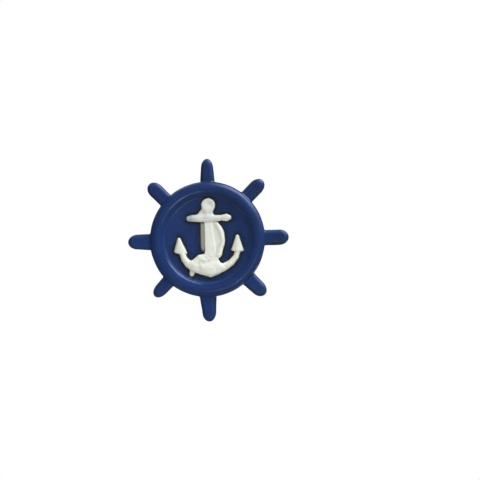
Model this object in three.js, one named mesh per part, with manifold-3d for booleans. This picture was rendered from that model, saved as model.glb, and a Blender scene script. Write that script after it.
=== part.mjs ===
// A sew-on shank button: a ship's wheel with an anchor and rope in its dish.
//
// Millimetres, +Z up with the anchor upright, +X to the right as seen from the front, front
// towards -Y. The origin is the centre of the thread eye. Four pieces: the wheel moulding, the
// anchor insert whose relief comes forward through a window in the wheel's floor, the back plate
// that closes the wheel and traps the insert, and the shank loop moulded into the back plate.

import * as THREE from 'three';
import { mergeVertices } from 'three/addons/utils/BufferGeometryUtils.js';
import Module from 'manifold-3d';

const wasm = await Module();
wasm.setup();

// ---- Driving dimensions --------------------------------------------------------------------

// The body's depths are counted forward from the back face of the button.
const EYE_TO_BACK = 2.0;       // thread eye centre to the back face
const FIT_GAP = 0.05;          // clearance between neighbouring pieces

// Thread eye
const EYE_HOLE_R = 1.7;
const EYE_WIRE_R = 0.72;
const FOOT_R = 2.6;            // flange that anchors the loop in the back plate
const FOOT_BACK = 0.85;
const FOOT_FRONT = 1.15;

// Back plate
const PLATE_R = 8.85;
const PLATE_EDGE = 0.5;        // thickness at the rim
const SPIGOT_R = 8.1;          // the register that fits inside the rim
const SPIGOT_FRONT = 1.2;
const GROOVE_HALF_WIDTH = 2.35; // needle groove across the back, in line with the eye
const GROOVE_DEPTH = 0.4;

// Wheel
const RIM_R = 8.97;
const CREST = 3.3;             // front of the rim
const ROLL_R = 1.27;           // the rim's front is rolled to this radius
const ROLL_INNER_SWEEP = THREE.MathUtils.degToRad(48); // how far the roll goes past the crest
const DISH_EDGE_R = 6.6;
const DISH_EDGE = 2.7;
const DISH_CENTRE = 2.5;
const FLOOR_BACK = 1.75;

// Handles: the moulding is a little uneven, so each has its own reach from the wheel's centre, a
// slight lean, a sideways shift of its root, and half its width at the root and at the shoulder.
// The first points to +X, and they follow anticlockwise as seen from the front.
const HANDLES = [
  { reach: 12.65, leanDeg: -0.15, rootShift: 0, rootHalf: 1.19, shoulderHalf: 1.2 },
  { reach: 12.56, leanDeg: 0.1, rootShift: 0.05, rootHalf: 1.12, shoulderHalf: 1.12 },
  { reach: 12.54, leanDeg: -1.35, rootShift: -0.06, rootHalf: 1.17, shoulderHalf: 0.95 },
  { reach: 12.49, leanDeg: 0.1, rootShift: 0.05, rootHalf: 1.13, shoulderHalf: 1.15 },
  { reach: 12.37, leanDeg: 0.45, rootShift: 0.1, rootHalf: 1.3, shoulderHalf: 1.16 },
  { reach: 12.09, leanDeg: 0.4, rootShift: 0, rootHalf: 1.09, shoulderHalf: 1 },
  { reach: 12.8, leanDeg: -0.45, rootShift: -0.15, rootHalf: 1.36, shoulderHalf: 1.08 },
  { reach: 12.42, leanDeg: -0.6, rootShift: 0, rootHalf: 1.25, shoulderHalf: 1.12 },
];
const HANDLE_ROOT_R = 8.3;     // where a handle starts, inside the rim's wall
const HANDLE_END = 1.5;        // length of the elliptical end past the shoulder
const HANDLE_BACK = 0.1;       // the handles' backs sit this far in front of the back face
const HANDLE_FRONT = 2.57;
const HANDLE_ROUND = 0.5;      // rounding of the front edges

// Anchor insert
const BASE_R = 8.0;
const BASE_BACK = 1.25;
const BASE_FRONT = 1.7;
const WINDOW_GAP = 0.1;        // clearance round the relief where it passes the wheel's floor
const RELIEF_ROUND = 0.3;      // rounding of the relief's edges
const RELIEF_BACK = BASE_FRONT - RELIEF_ROUND - FIT_GAP; // its back edges are buried in the base
const FLUKE_BOW = 0.1;         // how far the middle of a fluke's foot bows towards its arm

// Cutters run this far past the faces that they open, and are wider than the whole button.
const PAST_FACE = 1;
const CUTTER_SPAN = 4 * RIM_R;

// Facets
const LATHE_STEPS = 72;
const ARC_STEPS = 5;
const ROUND_STEPS = 2;
const CURVE_STEPS = 6;
const WIRE_STEPS = 14;
const LOOP_STEPS = 40;

// ---- Solids --------------------------------------------------------------------------------

// A closed geometry as a solid: only positions are kept, and faces that collapse are dropped.
function solidOf(geometry) {
  const bare = geometry.clone();
  bare.deleteAttribute('normal');
  bare.deleteAttribute('uv');
  const merged = mergeVertices(bare);
  const index = merged.index.array;
  const triVerts = [];
  for (let i = 0; i < index.length; i += 3) {
    const [a, b, c] = [index[i], index[i + 1], index[i + 2]];
    if (a !== b && b !== c && c !== a) triVerts.push(a, b, c);
  }
  return new wasm.Manifold(new wasm.Mesh({
    numProp: 3,
    vertProperties: Float32Array.from(merged.attributes.position.array),
    triVerts: Uint32Array.from(triVerts),
  }));
}

function geometryOf(solid) {
  const mesh = solid.getMesh();
  const geometry = new THREE.BufferGeometry();
  geometry.setAttribute('position', new THREE.BufferAttribute(mesh.vertProperties, 3));
  geometry.setIndex(new THREE.BufferAttribute(mesh.triVerts, 1));
  geometry.computeVertexNormals();
  return geometry;
}

function unionOf(solids) {
  return solids.reduce((sum, solid) => sum.add(solid));
}

// An outline seen from the front, extruded from one depth to another. Its edges are rounded by
// `round`, and `grow` moves the outline outwards.
function slab(outline, back, front, round = 0, grow = 0) {
  const geometry = new THREE.ExtrudeGeometry(outline, {
    depth: front - back - 2 * round,
    bevelThickness: round,
    bevelSize: round,
    bevelOffset: grow - round,
    bevelSegments: round > 0 ? ROUND_STEPS : 1,
    curveSegments: CURVE_STEPS,
  });
  geometry.translate(0, 0, back + round);
  geometry.rotateX(Math.PI / 2);
  return solidOf(geometry);
}

// A disc about the button's axis, between two depths.
function disc(radius, back, front) {
  const geometry = new THREE.CylinderGeometry(radius, radius, front - back, LATHE_STEPS);
  geometry.translate(0, -(back + front) / 2, 0);
  return solidOf(geometry);
}

// The needle groove's cutter: a cylinder along X whose arc has the groove's width and depth.
function grooveCutter() {
  const radius = (GROOVE_HALF_WIDTH ** 2 + GROOVE_DEPTH ** 2) / (2 * GROOVE_DEPTH);
  const geometry = new THREE.CylinderGeometry(radius, radius, CUTTER_SPAN, LATHE_STEPS);
  geometry.rotateZ(Math.PI / 2);
  geometry.translate(0, radius - GROOVE_DEPTH, 0);
  return solidOf(geometry);
}

// ---- Wheel ---------------------------------------------------------------------------------

// Half the section of the rim and the dished floor: from the axis at the floor's back, round the
// rim, to the axis at the floor's front. A lathe's faces point outwards when its profile runs
// towards +Y, so the points are returned in the other order.
function wheelProfile() {
  const path = new THREE.Path();
  path.moveTo(0, -FLOOR_BACK);
  path.lineTo(SPIGOT_R + FIT_GAP, -FLOOR_BACK);
  path.lineTo(SPIGOT_R + FIT_GAP, -PLATE_EDGE - FIT_GAP);
  path.lineTo(RIM_R, -PLATE_EDGE - FIT_GAP);
  path.absarc(RIM_R - ROLL_R, ROLL_R - CREST, ROLL_R, 0, -Math.PI / 2 - ROLL_INNER_SWEEP, true);
  path.lineTo(DISH_EDGE_R, -DISH_EDGE);
  path.quadraticCurveTo(DISH_EDGE_R / 2, -DISH_CENTRE, 0, -DISH_CENTRE);
  return path.getPoints(ARC_STEPS).reverse();
}

function handle({ reach, leanDeg, rootShift, rootHalf, shoulderHalf }, place) {
  const outline = new THREE.Shape();
  const shoulder = reach - HANDLE_END;
  outline.moveTo(HANDLE_ROOT_R, rootShift - rootHalf);
  outline.lineTo(shoulder, -shoulderHalf);
  outline.absellipse(shoulder, 0, HANDLE_END, shoulderHalf, -Math.PI / 2, Math.PI / 2);
  outline.lineTo(HANDLE_ROOT_R, rootShift + rootHalf);
  const blank = slab(outline, HANDLE_BACK - 2 * HANDLE_ROUND, HANDLE_FRONT, HANDLE_ROUND);
  const turnDeg = place * 360 / HANDLES.length + leanDeg;
  return blank.rotate([0, -turnDeg, 0]);
}

function wheelSolid(cutters) {
  const behind = disc(CUTTER_SPAN / 2, -PAST_FACE, HANDLE_BACK);
  const plateSeat = disc(PLATE_R + FIT_GAP, -PAST_FACE, PLATE_EDGE + FIT_GAP);
  const handles = unionOf(HANDLES.map(handle)).subtract(behind).subtract(plateSeat);
  const rim = solidOf(new THREE.LatheGeometry(wheelProfile(), LATHE_STEPS));
  return rim.add(handles).subtract(grooveCutter()).subtract(unionOf(cutters));
}

// ---- Anchor insert -------------------------------------------------------------------------

// Outlines are as seen from the front, x to the right and y up from the wheel's centre.
function ringBoss() {
  const circle = new THREE.EllipseCurve(0.31, 5.37, 1.07, 1.07);
  return new THREE.Shape(circle.getPoints(4 * CURVE_STEPS).slice(1));
}

function neck() {
  const outline = new THREE.Shape();
  outline.moveTo(-1.5, 3.4);
  outline.lineTo(1.0, 3.4);
  outline.lineTo(0.85, 4.9);
  outline.lineTo(-0.72, 4.85);
  outline.lineTo(-1.4, 4.03);
  return outline;
}

function stock() {
  const outline = new THREE.Shape();
  outline.absarc(-2.72, 3.3, 0.48, Math.PI / 2, 3 * Math.PI / 2);
  outline.lineTo(0.4, 2.7);
  outline.absarc(3.28, 3.32, 0.6, -Math.PI / 2, Math.PI / 2);
  outline.lineTo(0.4, 3.86);
  return outline;
}

function stem() {
  const outline = new THREE.Shape();
  outline.moveTo(-0.45, -4.2);
  outline.lineTo(1.35, -4.2);
  outline.lineTo(1.32, 3.2);
  outline.lineTo(-0.4, 3.2);
  return outline;
}

function arms() {
  const outline = new THREE.Shape();
  outline.moveTo(-4.4, -2.1);
  outline.quadraticCurveTo(-3.9, -4.5, -1.8, -5.15);
  outline.lineTo(0.33, -5.97);
  outline.lineTo(1.5, -5.55);
  outline.quadraticCurveTo(4.5, -4.6, 5.1, -1.9);
  outline.lineTo(4.05, -1.9);
  outline.quadraticCurveTo(3.3, -3.9, 0.35, -3.9);
  outline.quadraticCurveTo(-2.6, -3.9, -3.4, -2.1);
  return outline;
}

function fluke(tipX, tipY, outerX, outerY, innerX, innerY) {
  const outline = new THREE.Shape();
  outline.moveTo(tipX, tipY);
  outline.lineTo(innerX, innerY);
  outline.lineTo((innerX + outerX) / 2, (innerY + outerY) / 2 - FLUKE_BOW);
  outline.lineTo(outerX, outerY);
  return outline;
}

// The rope's turns: down beside the stem on the left, round it on the right, then across its foot
// to the left arm, with the rope's end below the arm.
function ropeLeft() {
  const outline = new THREE.Shape();
  outline.moveTo(-1.02, 3.0);
  outline.lineTo(-1.02, -1.4);
  outline.lineTo(-0.86, -1.8);
  outline.lineTo(-0.2, -1.4);
  outline.lineTo(-0.2, 3.0);
  return outline;
}

function ropeRight() {
  const outline = new THREE.Shape();
  outline.moveTo(0.8, 2.7);
  outline.lineTo(0.8, -4.2);
  outline.lineTo(1.75, -4.2);
  outline.quadraticCurveTo(1.85, -3.1, 2.1, -2.4);
  outline.lineTo(2.3, -1.5);
  outline.quadraticCurveTo(2.8, -0.6, 2.76, 0.5);
  outline.quadraticCurveTo(2.6, 1.7, 1.55, 2.7);
  return outline;
}

function ropeFoot() {
  const outline = new THREE.Shape();
  outline.moveTo(0.2, -2.5);
  outline.lineTo(-1.2, -2.45);
  outline.quadraticCurveTo(-2.1, -2.6, -2.7, -3.5);
  outline.lineTo(-3.1, -4.6);
  outline.lineTo(0.2, -4.6);
  return outline;
}

function ropeEnd() {
  const outline = new THREE.Shape();
  outline.moveTo(-2.3, -4.4);
  outline.lineTo(-3.2, -4.4);
  outline.quadraticCurveTo(-3.2, -5.7, -2.65, -5.72);
  outline.quadraticCurveTo(-2.1, -5.7, -2.0, -5.0);
  return outline;
}

// Each outline with the depth of its front face.
const RELIEF = [
  { outline: ringBoss(), front: 3.05 },
  { outline: neck(), front: 2.95 },
  { outline: stock(), front: 3.1 },
  { outline: stem(), front: 3.0 },
  { outline: arms(), front: 3.0 },
  { outline: fluke(-4.44, 0.42, -5.3, -2.0, -3.26, -2.3), front: 2.95 },
  { outline: fluke(4.63, 0.56, 3.78, -1.64, 5.66, -2.02), front: 2.95 },
  { outline: ropeLeft(), front: 2.45 },
  { outline: ropeRight(), front: 3.08 },
  { outline: ropeFoot(), front: 3.12 },
  { outline: ropeEnd(), front: 2.85 },
];

function anchorSolid() {
  const relief = RELIEF.map(({ outline, front }) =>
    slab(outline, RELIEF_BACK, front, RELIEF_ROUND));
  return unionOf([disc(BASE_R, BASE_BACK, BASE_FRONT), ...relief]);
}

function windowCutters() {
  return RELIEF.map(({ outline }) => slab(outline, 0, CREST, 0, WINDOW_GAP));
}

// ---- Shank loop and back plate -------------------------------------------------------------

// The eye's ring stands in the YZ plane, so the thread runs through it along X. Its foot is a
// flange inside the back plate. `grow` makes the same shape larger all round.
function loopSolid(grow = 0) {
  const ringR = EYE_HOLE_R + EYE_WIRE_R;
  const ring = new THREE.TorusGeometry(ringR, EYE_WIRE_R + grow, WIRE_STEPS, LOOP_STEPS);
  ring.rotateY(Math.PI / 2);
  ring.translate(0, EYE_TO_BACK, 0);
  return solidOf(ring).add(disc(FOOT_R + grow, FOOT_BACK - grow, FOOT_FRONT + grow));
}

function plateSolid() {
  const plate = disc(PLATE_R, 0, PLATE_EDGE).add(disc(SPIGOT_R, PLATE_EDGE / 2, SPIGOT_FRONT));
  return plate.subtract(grooveCutter()).subtract(loopSolid(FIT_GAP));
}

// ---- Assembly ------------------------------------------------------------------------------

const navyPlastic = new THREE.MeshStandardMaterial({
  name: 'navy_plastic', color: 0x1f3a7d, roughness: 0.32, metalness: 0,
});
const whitePlastic = new THREE.MeshStandardMaterial({
  name: 'white_plastic', color: 0xeeede6, roughness: 0.45, metalness: 0,
});

function piece(name, solid, material) {
  const mesh = new THREE.Mesh(geometryOf(solid), material);
  mesh.name = name;
  return mesh;
}

// Every piece is modelled from the button's back face, so one group carries them to the eye.
const body = new THREE.Group();
body.position.y = -EYE_TO_BACK;
body.add(
  piece('wheel', wheelSolid(windowCutters()), navyPlastic),
  piece('anchor_insert', anchorSolid(), whitePlastic),
  piece('back_plate', plateSolid(), whitePlastic),
  piece('shank_loop', loopSolid(), whitePlastic),
);

const button = new THREE.Group();
button.name = 'sew_on_button';
button.add(body);

export default button;
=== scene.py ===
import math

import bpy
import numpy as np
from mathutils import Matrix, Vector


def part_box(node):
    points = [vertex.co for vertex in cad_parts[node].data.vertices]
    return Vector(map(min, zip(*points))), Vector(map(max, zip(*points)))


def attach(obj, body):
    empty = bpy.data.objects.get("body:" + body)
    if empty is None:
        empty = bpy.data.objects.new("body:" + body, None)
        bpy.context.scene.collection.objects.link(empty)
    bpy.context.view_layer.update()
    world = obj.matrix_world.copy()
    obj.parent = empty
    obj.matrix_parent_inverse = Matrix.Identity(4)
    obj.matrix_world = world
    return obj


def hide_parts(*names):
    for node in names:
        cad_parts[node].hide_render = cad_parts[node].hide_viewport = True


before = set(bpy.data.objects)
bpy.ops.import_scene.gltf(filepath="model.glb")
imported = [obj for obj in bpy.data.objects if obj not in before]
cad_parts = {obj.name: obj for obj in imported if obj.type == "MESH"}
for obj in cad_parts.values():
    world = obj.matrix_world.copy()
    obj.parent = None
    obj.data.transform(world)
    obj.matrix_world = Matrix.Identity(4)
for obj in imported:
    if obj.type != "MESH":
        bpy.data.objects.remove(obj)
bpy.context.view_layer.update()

# A sew-on button: a navy ship's wheel with an off-white anchor in its dish, an off-white back plate
# and a shank loop. Each piece is one smooth moulded surface. It is written as a signed distance in
# millimetres, negative inside, and meshed on a grid. Depths are counted forward (-Y) from the
# button's back face; x is to the right and z is up, as seen from the front.

MM = 0.001

# ---- Sizes ---------------------------------------------------------------------------------------


def box_mm(node):
    low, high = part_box(node)
    return np.array(low) / MM, np.array(high) / MM


PLATE_LOW, PLATE_HIGH = box_mm("back_plate")
WHEEL_LOW, _ = box_mm("wheel")
BASE_LOW, BASE_HIGH = box_mm("anchor_insert")

BACK_Y = PLATE_HIGH[1]                          # the back face
CREST = BACK_Y - WHEEL_LOW[1]                   # front of the rim
PLATE_R = (PLATE_HIGH[0] - PLATE_LOW[0]) / 2
BASE_R = (BASE_HIGH[0] - BASE_LOW[0]) / 2

# Wheel
RIM_R = 8.97
RIM_OVAL = 0.004                                # how much wider the rim is along RIM_OVAL_AXIS
RIM_OVAL_AXIS = math.radians(60)
ROLL_R = 1.27                                   # the rim's front is rolled to this radius inside
ROLL_OUTER_R = 1.08                             # and to this one outside
DISH_CENTRE = 2.5                               # depths of its middle and its edge
DISH_EDGE = 2.7
DISH_EDGE_R = 6.6
DISH_CORNER_OUT = 0.13                          # from there to the foot of the roll
DISH_FILLET = 0.08
FLOOR_BACK = 1.75
SEAT_R = 8.15                                   # bore that takes the back plate's register
PLATE_EDGE = 0.5                                # the back plate's thickness there
FIT_GAP = 0.05                                  # between neighbouring pieces
WINDOW_GAP = 0.1                                # round the anchor
GROOVE_HALF_WIDTH = 2.35                        # needle groove across the back
GROOVE_DEPTH = 0.4

# Each handle's reach from the wheel's centre, lean in degrees, sideways shift of the root, and half
# its width at the root and at the shoulder. The first points to +X, and they follow anticlockwise.
HANDLES = [
    (12.65, -0.15, 0.0, 1.19, 1.2), (12.56, 0.1, 0.05, 1.12, 1.12), (12.54, -1.35, -0.06, 1.17, 0.95),
    (12.49, 0.1, 0.05, 1.13, 1.15), (12.37, 0.45, 0.1, 1.3, 1.16), (12.09, 0.4, 0.0, 1.09, 1.0),
    (12.8, -0.45, -0.15, 1.36, 1.08), (12.42, -0.6, 0.0, 1.25, 1.12),
]
HANDLE_ROOT_R = 8.3
HANDLE_END = 1.5                                # length of the elliptical end past the shoulder
HANDLE_BACK = 0.1                               # depths of their back and front
HANDLE_FRONT = 2.57
HANDLE_ROUND = 0.62
HANDLE_FILLET = 0.16

# Anchor insert
BASE_BACK = 1.25
BASE_FRONT = 1.7
RELIEF_BACK = BASE_BACK + 0.2                   # inside the base

# Back plate and loop
REGISTER_R = 8.1
REGISTER_FRONT = 1.2
EYE_HOLE_R = 1.7
EYE_WIRE_R = 0.72
FOOT_R = 2.6
FOOT_BACK = 0.85
FOOT_FRONT = 1.15

# Radii of the small edges and corners
EDGE_R = 0.1
FINE_EDGE_R = 0.08
BACK_EDGE_R = 0.12                              # of the plate's back and its groove
SOCKET_EDGE_R = 0.06                            # of the plate round the loop
SEAM_R = 0.05                                   # inside corners

# Unevenness of the surfaces: height, size of the bumps, seed
WHEEL_WAVES = (0.014, 2.8, 1.9)
ANCHOR_WAVES = (0.016, 1.3, 0.7)
LOOP_WAVES = (0.03, 3.3, 1.2)

# Size of the grid's cells, for each piece
WHEEL_CELL = 0.11
ANCHOR_CELL = 0.085
PLATE_CELL = 0.11
LOOP_CELL = 0.06

# ---- Distances -----------------------------------------------------------------------------------

FAR = 1e3                                       # further than anything on the button


def join(a, b, r):
    """Union, with a fillet of radius r in the corner between them."""
    return np.maximum(r, np.minimum(a, b)) - np.hypot(np.maximum(r - a, 0), np.maximum(r - b, 0))


def meet(a, b, r):
    """Intersection, with its edge rounded to radius r."""
    return np.minimum(-r, np.maximum(a, b)) + np.hypot(np.maximum(r + a, 0), np.maximum(r + b, 0))


def cut(a, b, r):
    """a without b, with the edge rounded to radius r."""
    return meet(a, -b, r)


def path(x, z, points):
    """Distance to a line through (x, z, half width) points, widened by its half width."""
    nearest = np.full(np.broadcast(x, z).shape, FAR)
    for (ax, az, ar), (bx, bz, br) in zip(points, points[1:]):
        length2 = (bx - ax) ** 2 + (bz - az) ** 2
        t = np.clip(((x - ax) * (bx - ax) + (z - az) * (bz - az)) / length2, 0, 1)
        off = np.hypot(x - ax - t * (bx - ax), z - az - t * (bz - az))
        nearest = np.minimum(nearest, off - ar - t * (br - ar))
    return nearest


def polygon(x, z, corners, swell=0.0):
    """Distance to a polygon, moved outwards by swell, which rounds its corners."""
    nearest = np.full(np.broadcast(x, z).shape, FAR)
    inside = np.zeros(nearest.shape, bool)
    for (ax, az), (bx, bz) in zip(corners, corners[1:] + corners[:1]):
        length2 = (bx - ax) ** 2 + (bz - az) ** 2
        t = np.clip(((x - ax) * (bx - ax) + (z - az) * (bz - az)) / length2, 0, 1)
        nearest = np.minimum(nearest, np.hypot(x - ax - t * (bx - ax), z - az - t * (bz - az)))
        if az != bz:
            across = (az > z) != (bz > z)
            inside ^= across & (x < ax + (z - az) / (bz - az) * (bx - ax))
    return np.where(inside, -nearest, nearest) - swell


def waves(x, y, z, height, size, seed):
    """A smooth unevenness of about that height, with bumps of about that size."""
    k = 2 * math.pi / size
    total = 0
    for turn in range(5):
        a = seed + 2.4 * turn
        b = 1.7 * seed + 1.9 * turn
        u = math.cos(a) * math.cos(b) * x + math.sin(a) * z + math.cos(a) * math.sin(b) * y
        total = total + np.sin(k * (0.8 + 0.13 * turn) * u + 5.1 * seed + turn)
    return height * (total / 3)


# ---- Anchor --------------------------------------------------------------------------------------

# The anchor's parts. A strand follows points (x, z, half width). A slab has corners (x, z), which
# swell moves outwards. front is how far forward a part stands, a number or a function of x and z.
# edge rounds its front edge, and fillet is the radius where it meets what it is added to.
RING_X = 0.26
RING_Z = 5.28
RING_R = 1.09
RING_FRONT = 3.1
RING_EDGE = 0.42
DIMPLE_R = 0.8
DIMPLE_DEPTH = 0.2
DIMPLE_EDGE = 0.2

NECK = dict(points=[(0.26, 4.6, 0.69), (0.25, 3.4, 0.78)], front=2.98, edge=0.4, fillet=0.3)
TUCK = dict(corners=[(-0.62, 4.72), (-1.28, 3.95), (-1.38, 3.4), (0.2, 3.4), (0.2, 4.8), (-0.3, 4.9)],
            swell=0.12, front=lambda x, z: 2.94 + 0.14 * (x + 0.4), edge=0.3, fillet=0.25)
STOCK = dict(points=[(-2.2, 3.33, 0.53), (-1.0, 3.29, 0.6), (0.4, 3.26, 0.6), (1.5, 3.22, 0.5),
                     (2.3, 3.27, 0.43)],
             front=3.08, edge=0.45, fillet=0.25)
STOCK_CAP = dict(points=[(-2.78, 3.3, 0.42), (-2.55, 3.31, 0.45)], front=2.98, edge=0.4, fillet=0.06)
STOCK_BALL = dict(points=[(2.64, 3.29, 0.5), (3.05, 3.3, 0.58), (3.42, 3.3, 0.4), (3.6, 3.3, 0.2)],
                  front=3.12, edge=0.45, fillet=0.06)

STEM = dict(corners=[(-0.25, -2.5), (1.1, -2.55), (0.45, 3.2), (-0.2, 3.2)], swell=0.2,
            front=lambda x, z: 3.0 - (x - 0.2) ** 2 / 12 - 0.09 * np.maximum(z - 1.2, 0), edge=0.1)
ROPE_BED = dict(corners=[(0.3, 2.6), (1.5, 2.5), (2.17, 1.8), (2.5, 0.9), (2.54, -0.25), (2.4, -1.05),
                         (2.14, -1.72), (2.06, -2.4), (1.62, -2.9), (0.9, -3.1)],
                swell=0.12, front=lambda x, z: 2.86 + 0.06 * (x - 1.4), edge=0.2, fillet=0.2)
ROPE_UPPER = dict(points=[(1.5, 2.3, 0.2), (2.1, 1.2, 0.22), (2.38, -0.2, 0.2), (2.25, -0.9, 0.2)],
                  front=3.0, edge=0.25, fillet=0.3)
ROPE_LOWER = dict(points=[(2.15, -0.95, 0.24), (1.88, -1.7, 0.4), (1.6, -2.5, 0.38)],
                  front=3.05, edge=0.34, fillet=0.2)
ROPE_LEFT = dict(points=[(-0.72, 2.3, 0.27), (-0.74, -1.35, 0.29), (-0.68, -1.75, 0.1)],
                 front=2.1, edge=0.12, fillet=0.12)

CROWN = dict(corners=[(-0.9, -4.95), (0.31, -5.66), (1.43, -5.16), (2.2, -4.4), (1.55, -3.75),
                      (-1.2, -3.9)],
             swell=0.26, front=lambda x, z: 3.1 + 0.2 * np.minimum(z + 4.5, 0), edge=0.5)
LEFT_ARM = dict(points=[(-4.05, -1.9, 0.42), (-3.7, -2.95, 0.49), (-3.1, -3.72, 0.58),
                        (-2.3, -4.3, 0.66), (-1.0, -4.7, 0.78), (0.35, -4.85, 0.85)],
                front=3.05, edge=0.5, fillet=0.4)
RIGHT_ARM = dict(points=[(4.66, -1.9, 0.42), (4.3, -2.9, 0.44), (3.53, -3.76, 0.51),
                         (2.45, -4.4, 0.62), (1.35, -4.72, 0.74), (0.35, -4.85, 0.85)],
                 front=3.05, edge=0.5, fillet=0.4)
COLLAR = dict(corners=[(-0.3, -2.05), (-0.55, -2.35), (-1.3, -2.62), (-1.0, -4.0), (1.6, -4.0),
                       (1.45, -2.8), (0.2, -2.75)],
              swell=0.12, front=2.98, edge=0.3, fillet=0.4)
HUMP = dict(points=[(-0.5, -3.0, 0.42), (-1.4, -3.12, 0.62), (-2.1, -3.7, 0.6)],
            front=3.12, edge=0.5, fillet=0.45)
ROPE_END = dict(points=[(-2.45, -4.75, 0.42), (-2.6, -5.34, 0.38)], front=2.7, edge=0.3, fillet=0.15)

FURROW = [(-0.4, -2.9, 0.02), (-0.05, -3.4, 0.06), (-0.75, -3.62, 0.02)]
FURROW_FRONT = 3.27             # where the middle of the round cut lies
FURROW_R = 0.2
FURROW_EDGE = 0.3

LEFT_FLUKE = dict(tip=(-4.43, 0.12), outer=(-4.97, -1.75), inner=(-3.5, -2.0))
RIGHT_FLUKE = dict(tip=(4.64, 0.3), outer=(5.31, -1.8), inner=(3.92, -1.68))
FLUKE_BOW = 0.12                # how far the middle of a fluke's foot bows towards its arm
FLUKE_SWELL = 0.25
FLUKE_FRONT = 3.14
FLUKE_SLOPE = 0.3               # of its two sides
FLUKE_RIDGE = 0.3               # how far from its middle the ridge is soft
FLUKE_EDGE = 0.3
FLUKE_FILLET = 0.1
MAIN_FILLET = 0.12              # between the head, the stem and the foot

# What shows in the outline; the rope's other strands lie inside it.
OUTLINE_PARTS = [NECK, TUCK, STOCK, STOCK_CAP, STOCK_BALL, STEM, ROPE_BED, ROPE_LEFT,
                 CROWN, LEFT_ARM, RIGHT_ARM, COLLAR, HUMP, ROPE_END]


def outline(x, z, part):
    """Distance to a part's outline as seen from the front."""
    if "points" in part:
        return path(x, z, part["points"])
    return polygon(x, z, part["corners"], part["swell"])


def raised(x, z, depth, part):
    """A part as an upright form, its front edge rounded."""
    front = part["front"]
    if callable(front):
        front = front(x, z)
    return meet(outline(x, z, part), depth - front, part["edge"])


def add(form, x, z, depth, parts):
    """The form with those parts joined on, one after another."""
    for part in parts:
        form = join(form, raised(x, z, depth, part), part["fillet"])
    return form


def middle(fluke):
    """The middle of a fluke's foot."""
    return ((fluke["inner"][0] + fluke["outer"][0]) / 2, (fluke["inner"][1] + fluke["outer"][1]) / 2)


def fluke_plan(x, z, fluke):
    mx, mz = middle(fluke)
    foot = (mx, mz - FLUKE_BOW)
    return polygon(x, z, [fluke["tip"], fluke["inner"], foot, fluke["outer"]], FLUKE_SWELL)


def fluke_form(x, z, depth, fluke):
    """An arrowhead with a soft ridge from its tip to the middle of its foot."""
    tx, tz = fluke["tip"]
    mx, mz = middle(fluke)
    length = math.hypot(mx - tx, mz - tz)
    off = np.abs((x - tx) * (mz - tz) - (z - tz) * (mx - tx)) / length
    front = FLUKE_FRONT - FLUKE_SLOPE * np.hypot(off, FLUKE_RIDGE)
    return meet(fluke_plan(x, z, fluke), depth - front, FLUKE_EDGE)


def anchor_plan(x, z):
    """Distance to the anchor's outline as seen from the front."""
    plans = [outline(x, z, part) for part in OUTLINE_PARTS]
    plans += [fluke_plan(x, z, LEFT_FLUKE), fluke_plan(x, z, RIGHT_FLUKE)]
    plans.append(np.hypot(x - RING_X, z - RING_Z) - RING_R)
    return np.minimum.reduce(plans)


def ring_form(x, z, depth):
    r = np.hypot(x - RING_X, z - RING_Z)
    boss = meet(r - RING_R, depth - RING_FRONT, RING_EDGE)
    bowl_r = (DIMPLE_R ** 2 + DIMPLE_DEPTH ** 2) / (2 * DIMPLE_DEPTH)
    bowl = np.hypot(r, depth - (RING_FRONT - DIMPLE_DEPTH + bowl_r)) - bowl_r
    return cut(boss, bowl, DIMPLE_EDGE)


def head_form(x, z, depth):
    """The ring, the tuck of rope beside its neck, and the stock with a knob at each end."""
    return add(ring_form(x, z, depth), x, z, depth, [NECK, TUCK, STOCK, STOCK_CAP, STOCK_BALL])


def stem_form(x, z, depth):
    """The flat stem, and the rope that lies against it on both sides."""
    rope = add(raised(x, z, depth, ROPE_BED), x, z, depth, [ROPE_UPPER, ROPE_LOWER])
    form = join(raised(x, z, depth, STEM), rope, ROPE_BED["fillet"])
    return add(form, x, z, depth, [ROPE_LEFT])


def foot_form(x, z, depth):
    """The crown and arms, the stem's collar, and the hump of rope that comes over them."""
    form = add(raised(x, z, depth, CROWN), x, z, depth, [LEFT_ARM, RIGHT_ARM, COLLAR, HUMP])
    furrow = np.hypot(path(x, z, FURROW), depth - FURROW_FRONT) - FURROW_R
    return add(cut(form, furrow, FURROW_EDGE), x, z, depth, [ROPE_END])


def anchor(x, y, z):
    depth = BACK_Y - y
    relief = join(head_form(x, z, depth), stem_form(x, z, depth), MAIN_FILLET)
    relief = join(relief, foot_form(x, z, depth), MAIN_FILLET)
    for fluke in (LEFT_FLUKE, RIGHT_FLUKE):
        relief = join(relief, fluke_form(x, z, depth, fluke), FLUKE_FILLET)
    relief = relief - waves(x, y, z, *ANCHOR_WAVES)
    relief = np.maximum(relief, RELIEF_BACK - depth)
    base = meet(np.hypot(x, z) - BASE_R, depth - BASE_FRONT, EDGE_R)
    return join(relief, meet(base, BASE_BACK - depth, EDGE_R), SEAM_R)


# ---- Wheel ---------------------------------------------------------------------------------------


def handle_form(x, z, depth, number):
    reach, lean, root_shift, root_half, shoulder_half = HANDLES[number]
    angle = math.radians(360 / len(HANDLES) * number + lean)
    along = x * math.cos(angle) + z * math.sin(angle)
    aside = z * math.cos(angle) - x * math.sin(angle)
    shoulder = reach - HANDLE_END
    share = np.clip((along - HANDLE_ROOT_R) / (shoulder - HANDLE_ROOT_R), 0, 1)
    half = root_half + share * (shoulder_half - root_half)
    past = np.maximum(along - shoulder, 0) / HANDLE_END
    plan = (np.hypot(past, (aside - (1 - share) * root_shift) / half) - 1) * half
    plan = np.maximum(plan, HANDLE_ROOT_R - along)
    solid = meet(plan, depth - HANDLE_FRONT, HANDLE_ROUND)
    return meet(solid, HANDLE_BACK - depth, EDGE_R)


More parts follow.
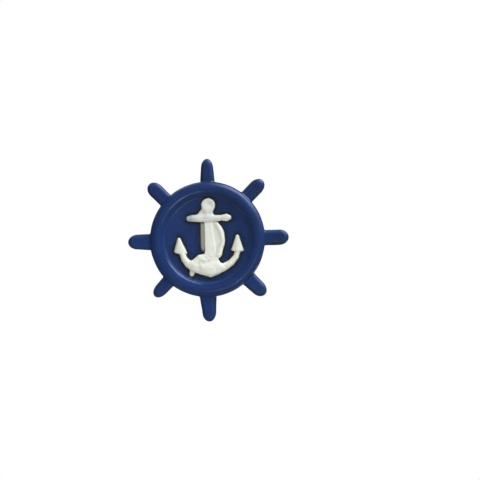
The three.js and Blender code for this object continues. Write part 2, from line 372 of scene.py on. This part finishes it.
def groove(z, depth):
    radius = (GROOVE_HALF_WIDTH ** 2 + GROOVE_DEPTH ** 2) / (2 * GROOVE_DEPTH)
    return np.hypot(z, depth + radius - GROOVE_DEPTH) - radius


def wheel(x, y, z):
    depth = BACK_Y - y
    r = np.hypot(x, z)
    oval = 1 - RIM_OVAL * np.cos(2 * (np.arctan2(z, x) - RIM_OVAL_AXIS))
    roll = meet(r * oval - RIM_R, depth - CREST, ROLL_OUTER_R)
    roll = meet(roll, RIM_R - 2 * ROLL_R - r, ROLL_R)
    dish = DISH_CENTRE + (DISH_EDGE - DISH_CENTRE) * (r / DISH_EDGE_R) ** 2
    solid = join(roll, np.maximum(r - RIM_R + ROLL_R, depth - dish), DISH_FILLET)
    solid = meet(solid, PLATE_EDGE + FIT_GAP - depth, FINE_EDGE_R)
    for number in range(len(HANDLES)):
        solid = join(solid, handle_form(x, z, depth, number), HANDLE_FILLET)
    solid = solid - waves(x, y, z, *WHEEL_WAVES)
    solid = cut(solid, meet(r - SEAT_R, depth - FLOOR_BACK, SEAM_R), EDGE_R)
    recess = meet(r - PLATE_R - FIT_GAP, depth - PLATE_EDGE - FIT_GAP, SEAM_R)
    solid = cut(cut(solid, recess, FINE_EDGE_R), groove(z, depth), EDGE_R)
    return cut(solid, anchor_plan(x, z) - WINDOW_GAP, EDGE_R)


def corner_plan(x, z):
    """Distance in the front view to the foot of the rim's roll, in the dish's corner."""
    return np.abs(np.hypot(x, z) - DISH_EDGE_R - DISH_CORNER_OUT)


# ---- Back plate and loop -------------------------------------------------------------------------


def loop(x, y, z):
    depth = BACK_Y - y
    ring_r = EYE_HOLE_R + EYE_WIRE_R
    ring = np.hypot(np.hypot(y, z) - ring_r, x) - EYE_WIRE_R
    ring = ring - waves(x, y, z, *LOOP_WAVES)
    level = np.abs(depth - (FOOT_BACK + FOOT_FRONT) / 2) - (FOOT_FRONT - FOOT_BACK) / 2
    return join(ring, meet(np.hypot(x, z) - FOOT_R, level, FINE_EDGE_R), SEAM_R)


def plate(x, y, z):
    depth = BACK_Y - y
    r = np.hypot(x, z)
    disc = meet(meet(r - PLATE_R, depth - PLATE_EDGE, FINE_EDGE_R), -depth, BACK_EDGE_R)
    register = meet(r - REGISTER_R, depth - REGISTER_FRONT, EDGE_R)
    solid = join(disc, np.maximum(register, PLATE_EDGE / 2 - depth), SEAM_R)
    solid = cut(solid, groove(z, depth), BACK_EDGE_R)
    return cut(solid, loop(x, y, z) - FIT_GAP, SOCKET_EDGE_R)


# ---- Meshing -------------------------------------------------------------------------------------

CELL_CORNERS = np.array([(i, j, k) for i in (0, 1) for j in (0, 1) for k in (0, 1)])
CELL_EDGES = [(a, b) for a in range(8) for b in range(a + 1, 8)
              if np.abs(CELL_CORNERS[a] - CELL_CORNERS[b]).sum() == 1]
GRID_MARGIN = 1.5                               # cells round the piece's box
SETTLE_STEPS = 2
SETTLE_REACH = 0.01                             # step that the surface's slope is measured over
LEAST_SLOPE = 0.5                               # that a step is worked out with
EDGE_REACH = 0.12                               # step that its bend is measured over


def surface_net(distance, low, high, cell):
    """Points and quads of a distance's zero surface, with one point in each grid cell it crosses."""
    axes = [np.arange(a - GRID_MARGIN * cell, b + (GRID_MARGIN + 1) * cell, cell)
            for a, b in zip(low, high)]
    field = distance(*np.meshgrid(*axes, indexing="ij", sparse=True))
    inside = field < 0
    cells = np.array(field.shape) - 1
    count = np.zeros(cells, np.int8)
    for i, j, k in CELL_CORNERS:
        count += inside[i:i + cells[0], j:j + cells[1], k:k + cells[2]]
    active = np.argwhere((count > 0) & (count < 8))
    number = np.full(cells, -1)
    number[tuple(active.T)] = np.arange(len(active))
    total = np.zeros((len(active), 3))
    hits = np.zeros(len(active))
    corner = [field[tuple((active + offset).T)] for offset in CELL_CORNERS]
    for a, b in CELL_EDGES:
        crosses = (corner[a] < 0) != (corner[b] < 0)
        gap = np.where(crosses, corner[a] - corner[b], 1)
        share = (corner[a] / gap)[:, None]
        point = CELL_CORNERS[a] + share * (CELL_CORNERS[b] - CELL_CORNERS[a])
        total += np.where(crosses[:, None], point, 0)
        hits += crosses
    points = (active + total / hits[:, None]) * cell + [axis[0] for axis in axes]
    quads = []
    for axis in range(3):
        ahead = np.roll(inside, -1, axis)
        edges = np.argwhere(inside != ahead)
        starts_inside = inside[tuple(edges.T)]
        u, v = np.eye(3, dtype=int)[(axis + 1) % 3], np.eye(3, dtype=int)[(axis + 2) % 3]
        ring = [number[tuple((edges - step).T)] for step in (0 * u, u, u + v, v)]
        quad = np.stack(ring, 1)
        quads.append(np.where(starts_inside[:, None], quad, quad[:, ::-1]))
    return points, np.concatenate(quads)


def settle(distance, points, cell):
    """Moves the points on to the zero surface, by Newton steps."""
    for _ in range(SETTLE_STEPS):
        here = distance(*points.T)
        rise = [distance(*(points + axis).T) - here for axis in np.eye(3) * SETTLE_REACH]
        normal = np.stack(rise, 1) / SETTLE_REACH
        square = np.maximum((normal ** 2).sum(1), LEAST_SLOPE ** 2)
        move = np.clip(here / square, -cell / 2, cell / 2)
        points = points - move[:, None] * normal
    return points


def sharpness(distance, points):
    """How strongly the surface bends: above 0 at edges, below 0 in creases, about 1 / radius."""
    total = -6 * distance(*points.T)
    for axis in np.eye(3) * EDGE_REACH:
        total += distance(*(points + axis).T) + distance(*(points - axis).T)
    return total / EDGE_REACH ** 2


def moulded(name, distance, node, material, cell, plans=None):
    """A piece made from its distance, in the place of a CAD node. plans, if given, are distances in
    the front view that the material uses, by name."""
    low, high = box_mm(node)
    points, quads = surface_net(distance, low, high, cell)
    points = settle(distance, points, cell)
    mesh = bpy.data.meshes.new(name)
    mesh.from_pydata((points * MM).tolist(), [], quads.tolist())
    mesh.update()
    mesh.shade_smooth()
    values = {"edge": sharpness(distance, points)}
    for key, plan in (plans or {}).items():
        values[key] = plan(points[:, 0], points[:, 2])
    for key, value in values.items():
        made = mesh.attributes.new(key, "FLOAT", "POINT")
        made.data.foreach_set("value", value.astype(np.float32))
    mesh.materials.append(material)
    piece = bpy.data.objects.new(name, mesh)
    bpy.context.scene.collection.objects.link(piece)
    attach(piece, "root")
    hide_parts(node)
    return piece


# ---- Materials -----------------------------------------------------------------------------------


NAVY_DEEP = (0.0105, 0.027, 0.08)
NAVY_BRIGHT = (0.0125, 0.035, 0.133)
NAVY_WORN = (0.06, 0.08, 0.15)
# painted shade: the navy's colour round the anchor's window, where the anchor's shade falls
NAVY_WINDOW_SHADE = (0.003, 0.006, 0.008)
NAVY_SPREAD = 9                                 # mm over which it goes from deep to bright
ANCHOR_TONE = (0.745, 0.74, 0.61)
PLATE_TONE = (0.78, 0.77, 0.73)
LOOP_TONE = (0.78, 0.77, 0.74)
# painted shade for the white plastic's creases
CREASE_SHADE = (0.42, 0.38, 0.31)
HEAD_GREY = (0.42, 0.43, 0.42)
END_GREY = (0.3, 0.36, 0.37)
# painted shade for the relief's low parts, which lie in the shade of its window
LOW_SHADE = (0.27, 0.27, 0.27)
PAPER_TONES = (0.86, 0.86, 0.86), (0.9, 0.9, 0.9)
HEAD_FROM, HEAD_TO = 2.5, 3.1                   # heights over which the anchor's head turns grey
END_FROM, END_TO = -1.4, -2.6                   # x over which the stock's left end does
LOW_FROM, LOW_TO = 2.5, 2.2                     # depths over which painted shade darkens the relief's low parts


class Plastic:
    """A procedural material with small helpers for its nodes."""

    def __init__(self, name):
        self.material = bpy.data.materials.new(name)
        self.material.use_nodes = True
        self.tree = self.material.node_tree
        self.shader = self.tree.nodes["Principled BSDF"]
        self.place = self.tree.nodes.new("ShaderNodeTexCoord").outputs["Object"]

    def node(self, kind, values=None, links=None, **settings):
        made = self.tree.nodes.new(kind)
        for key, value in settings.items():
            setattr(made, key, value)
        for key, value in (values or {}).items():
            made.inputs[key].default_value = value
        for key, source in (links or {}).items():
            self.tree.links.new(source, made.inputs[key])
        return made

    def noise(self, size_mm, detail=2.0, roughness=0.5):
        values = {"Scale": 1 / (size_mm * MM), "Detail": detail, "Roughness": roughness}
        return self.node("ShaderNodeTexNoise", values, {"Vector": self.place}).outputs["Fac"]

    def spread(self, source, low, high, to_low=0.0, to_high=1.0):
        """Carries the range from low to high over to to_low and to_high, clamped."""
        values = {"From Min": low, "From Max": high, "To Min": to_low, "To Max": to_high}
        made = self.node("ShaderNodeMapRange", values, {"Value": source})
        return made.outputs["Result"]

    def sum(self, a, b):
        return self.node("ShaderNodeMath", None, {0: a, 1: b}, operation="ADD").outputs[0]

    def product(self, a, b):
        made = self.node("ShaderNodeMath", None, None, operation="MULTIPLY")
        for number, value in enumerate((a, b)):
            if isinstance(value, float):
                made.inputs[number].default_value = value
            else:
                self.tree.links.new(value, made.inputs[number])
        return made.outputs[0]

    def blend(self, share, a, b):
        """Colour a where share is 0 and b where it is 1."""
        made = self.node("ShaderNodeMix", None, None, data_type="RGBA")
        self.tree.links.new(share, made.inputs["Factor"])
        for socket, colour in ((made.inputs[6], a), (made.inputs[7], b)):
            if isinstance(colour, tuple):
                socket.default_value = (*colour, 1)
            else:
                self.tree.links.new(colour, socket)
        return made.outputs[2]

    def attribute(self, name):
        return self.node("ShaderNodeAttribute", attribute_name=name).outputs["Fac"]

    def set(self, key, source):
        self.tree.links.new(source, self.shader.inputs[key])

    def bump(self, height, distance_mm, strength):
        values = {"Strength": strength, "Distance": distance_mm * MM}
        made = self.node("ShaderNodeBump", values, {"Height": height})
        self.set("Normal", made.outputs["Normal"])


def navy_plastic():
    """Navy plastic, a little brighter towards the lower left, duller at edges and in corners, and
    darkened by painted shade round the anchor's window, where it is also duller.
    """
    p = Plastic("navy_plastic")
    across, _, up = p.node("ShaderNodeSeparateXYZ", None, {"Vector": p.place}).outputs
    slant = p.spread(p.sum(across, up), NAVY_SPREAD * MM, -NAVY_SPREAD * MM)
    cloud = p.sum(p.product(p.spread(p.noise(3.5, 3.0), 0.35, 0.65), 0.4), p.product(slant, 0.6))
    colour = p.blend(cloud, NAVY_DEEP, NAVY_BRIGHT)
    worn = p.product(p.spread(p.attribute("edge"), 2.0, 5.0), p.spread(p.noise(0.6, 3.0), 0.35, 0.7))
    colour = p.blend(p.product(worn, 0.35), colour, NAVY_WORN)
    # painted shade round the anchor's window; the same mask also dulls the gloss there
    window_shade = p.product(p.spread(p.attribute("window_shade"), 0.9, 0.1), p.spread(p.noise(1.1, 3.0), 0.2, 0.5))
    colour = p.blend(p.product(window_shade, 0.85), colour, NAVY_WINDOW_SHADE)
    p.set("Base Color", colour)
    dulled = p.sum(p.spread(p.noise(0.9, 4.0), 0.3, 0.7, 0.2, 0.27),
                   p.spread(p.attribute("edge"), 0.8, 1.1, 0.0, 0.22))
    dulled = p.sum(dulled, p.spread(p.attribute("corner"), 0.19, 0.06, 0.0, 0.35))
    p.set("Roughness", p.sum(dulled, p.product(window_shade, 0.2)))
    p.bump(p.noise(0.35, 3.0), distance_mm=0.02, strength=0.25)
    p.shader.inputs["IOR"].default_value = 1.5
    return p.material


def white_plastic(name, tone, anchor=False):
    """Off-white plastic, with painted shade in its creases. On the anchor it is greyer at the ring
    and stock, most of all at the stock's left end, and darkened by painted shade where the relief
    lies low in its window."""
    p = Plastic(name)
    cloud = p.spread(p.noise(1.8, 3.0), 0.35, 0.65)
    colour = p.blend(cloud, tone, tuple(0.95 * v for v in tone))
    if anchor:
        across, back, up = p.node("ShaderNodeSeparateXYZ", None, {"Vector": p.place}).outputs
        head = p.spread(up, HEAD_FROM * MM, HEAD_TO * MM)
        colour = p.blend(p.product(head, 0.3), colour, HEAD_GREY)
        end = p.product(head, p.spread(across, END_FROM * MM, END_TO * MM))
        colour = p.blend(p.product(end, 0.7), colour, END_GREY)
        # painted shade on the relief where it lies low in its window
        low = p.spread(back, (BACK_Y - LOW_FROM) * MM, (BACK_Y - LOW_TO) * MM)
        colour = p.blend(p.product(low, 0.65), colour, LOW_SHADE)
    # painted shade in the creases, where the surface bends inwards
    crease_shade = p.product(p.spread(p.attribute("edge"), -0.6, -4.0), 0.3)
    colour = p.blend(crease_shade, colour, CREASE_SHADE)
    p.set("Base Color", colour)
    p.set("Roughness", p.spread(p.noise(0.7, 4.0), 0.3, 0.7, 0.38, 0.5))
    p.bump(p.noise(0.3, 3.0), distance_mm=0.02, strength=0.3)
    return p.material


# ---- Stage ---------------------------------------------------------------------------------------

VIEW_WIDTH = 74.74              # millimetres across the picture at the front of the button
FRONT_PLANE_Y = -3.9            # where that width is measured
LENS = 150.0
SENSOR = 36.0
ROLL = math.radians(1.8)
AIM_X = 5.05
AIM_Z = -0.27
FLOOR_HALF = 0.3                # metres
FLOOR_Z = -0.25

WORLD_SEEN = 1.0                # the world's strength to the camera, to gloss and to the rest
WORLD_GLOSS = 0.03
WORLD_LIGHT = 0.25
WHITE = (1, 1, 1)
DAYLIGHT = (0.8, 0.93, 1.25)

# Name, azimuth anticlockwise from +X as seen from the front, degrees off the direction straight in
# front of the button, distance and size in metres, watts, colour, and whether gloss shows it.
LIGHTS = [
    ("key", 52, 83, 0.5, 0.42, 3.1, DAYLIGHT, True),
    ("key_wash", 58, 78, 0.6, 0.3, 2.3, WHITE, False),
    ("front_fill", 90, 15, 0.6, 0.3, 1.45, WHITE, False),
    ("top_soft", 120, 125, 0.6, 0.5, 0.8, WHITE, True),
    ("low_glint", 300, 19, 0.6, 0.08, 0.2, DAYLIGHT, True),
    ("side_bounce", 312, 125, 0.5, 0.3, 0.4, WHITE, True),
    ("back_fill", 120, 150, 0.6, 0.4, 2.0, WHITE, False),
]


def make_camera():
    data = bpy.data.cameras.new("camera")
    data.lens = LENS
    data.sensor_width = SENSOR
    data.clip_start = 0.01
    data.clip_end = 10
    distance = VIEW_WIDTH * LENS / SENSOR
    camera = bpy.data.objects.new("camera", data)
    camera.location = (AIM_X * MM, (FRONT_PLANE_Y - distance) * MM, AIM_Z * MM)
    camera.rotation_euler = (math.pi / 2, ROLL, 0)
    bpy.context.scene.collection.objects.link(camera)
    bpy.context.scene.camera = camera


def area_light(name, azimuth, off_axis, distance, size, power, colour, glossy):
    """A square soft light that faces the button."""
    data = bpy.data.lights.new(name, "AREA")
    data.size = size
    data.energy = power
    data.color = colour
    lamp = bpy.data.objects.new(name, data)
    round_axis, tilt = math.radians(azimuth), math.radians(off_axis)
    away = Vector((math.sin(tilt) * math.cos(round_axis), -math.cos(tilt),
                   math.sin(tilt) * math.sin(round_axis)))
    lamp.location = away * distance
    lamp.rotation_euler = away.to_track_quat("Z", "Y").to_euler()
    lamp.visible_glossy = glossy
    bpy.context.scene.collection.objects.link(lamp)


def make_world():
    """White behind the button, and a dim even light on it that its gloss hardly shows."""
    world = bpy.data.worlds.new("studio")
    bpy.context.scene.world = world
    world.use_nodes = True
    tree = world.node_tree
    ray = tree.nodes.new("ShaderNodeLightPath")
    lit = tree.nodes.new("ShaderNodeMapRange")
    lit.inputs["To Min"].default_value = WORLD_LIGHT
    lit.inputs["To Max"].default_value = WORLD_GLOSS
    tree.links.new(ray.outputs["Is Glossy Ray"], lit.inputs["Value"])
    strength = tree.nodes.new("ShaderNodeMapRange")
    strength.inputs["To Max"].default_value = WORLD_SEEN
    tree.links.new(ray.outputs["Is Camera Ray"], strength.inputs["Value"])
    tree.links.new(lit.outputs["Result"], strength.inputs["To Min"])
    tree.links.new(strength.outputs["Result"], tree.nodes["Background"].inputs["Strength"])
    tree.nodes["Background"].inputs["Color"].default_value = (*WHITE, 1)


def make_lights():
    for light in LIGHTS:
        area_light(*light)
    make_world()
    bpy.context.scene.view_settings.view_transform = "Standard"


def make_floor():
    mesh = bpy.data.meshes.new("floor")
    corners = [(FLOOR_HALF * x, FLOOR_HALF * y, 0) for x, y in ((-1, -1), (1, -1), (1, 1), (-1, 1))]
    mesh.from_pydata(corners, [], [(0, 1, 2, 3)])
    floor = bpy.data.objects.new("floor", mesh)
    floor.location = (0, 0, FLOOR_Z)
    paper = Plastic("paper")
    grain = paper.noise(1.5, 4.0)
    paper.set("Base Color", paper.blend(grain, *PAPER_TONES))
    paper.set("Roughness", paper.spread(grain, 0, 1, 0.7, 0.9))
    mesh.materials.append(paper.material)
    bpy.context.scene.collection.objects.link(floor)
    floor.visible_glossy = False


# ---- The button ----------------------------------------------------------------------------------

make_camera()
make_lights()
make_floor()

# window_shade is the distance from the anchor's outline, for the painted shade round its window
moulded("wheel_moulding", wheel, "wheel", navy_plastic(), WHEEL_CELL,
        {"window_shade": anchor_plan, "corner": corner_plan})
moulded("anchor_relief", anchor, "anchor_insert",
        white_plastic("anchor_white", ANCHOR_TONE, anchor=True), ANCHOR_CELL)
moulded("plate_disc", plate, "back_plate",
        white_plastic("back_white", PLATE_TONE), PLATE_CELL)
moulded("thread_loop", loop, "shank_loop",
        white_plastic("shank_white", LOOP_TONE), LOOP_CELL)
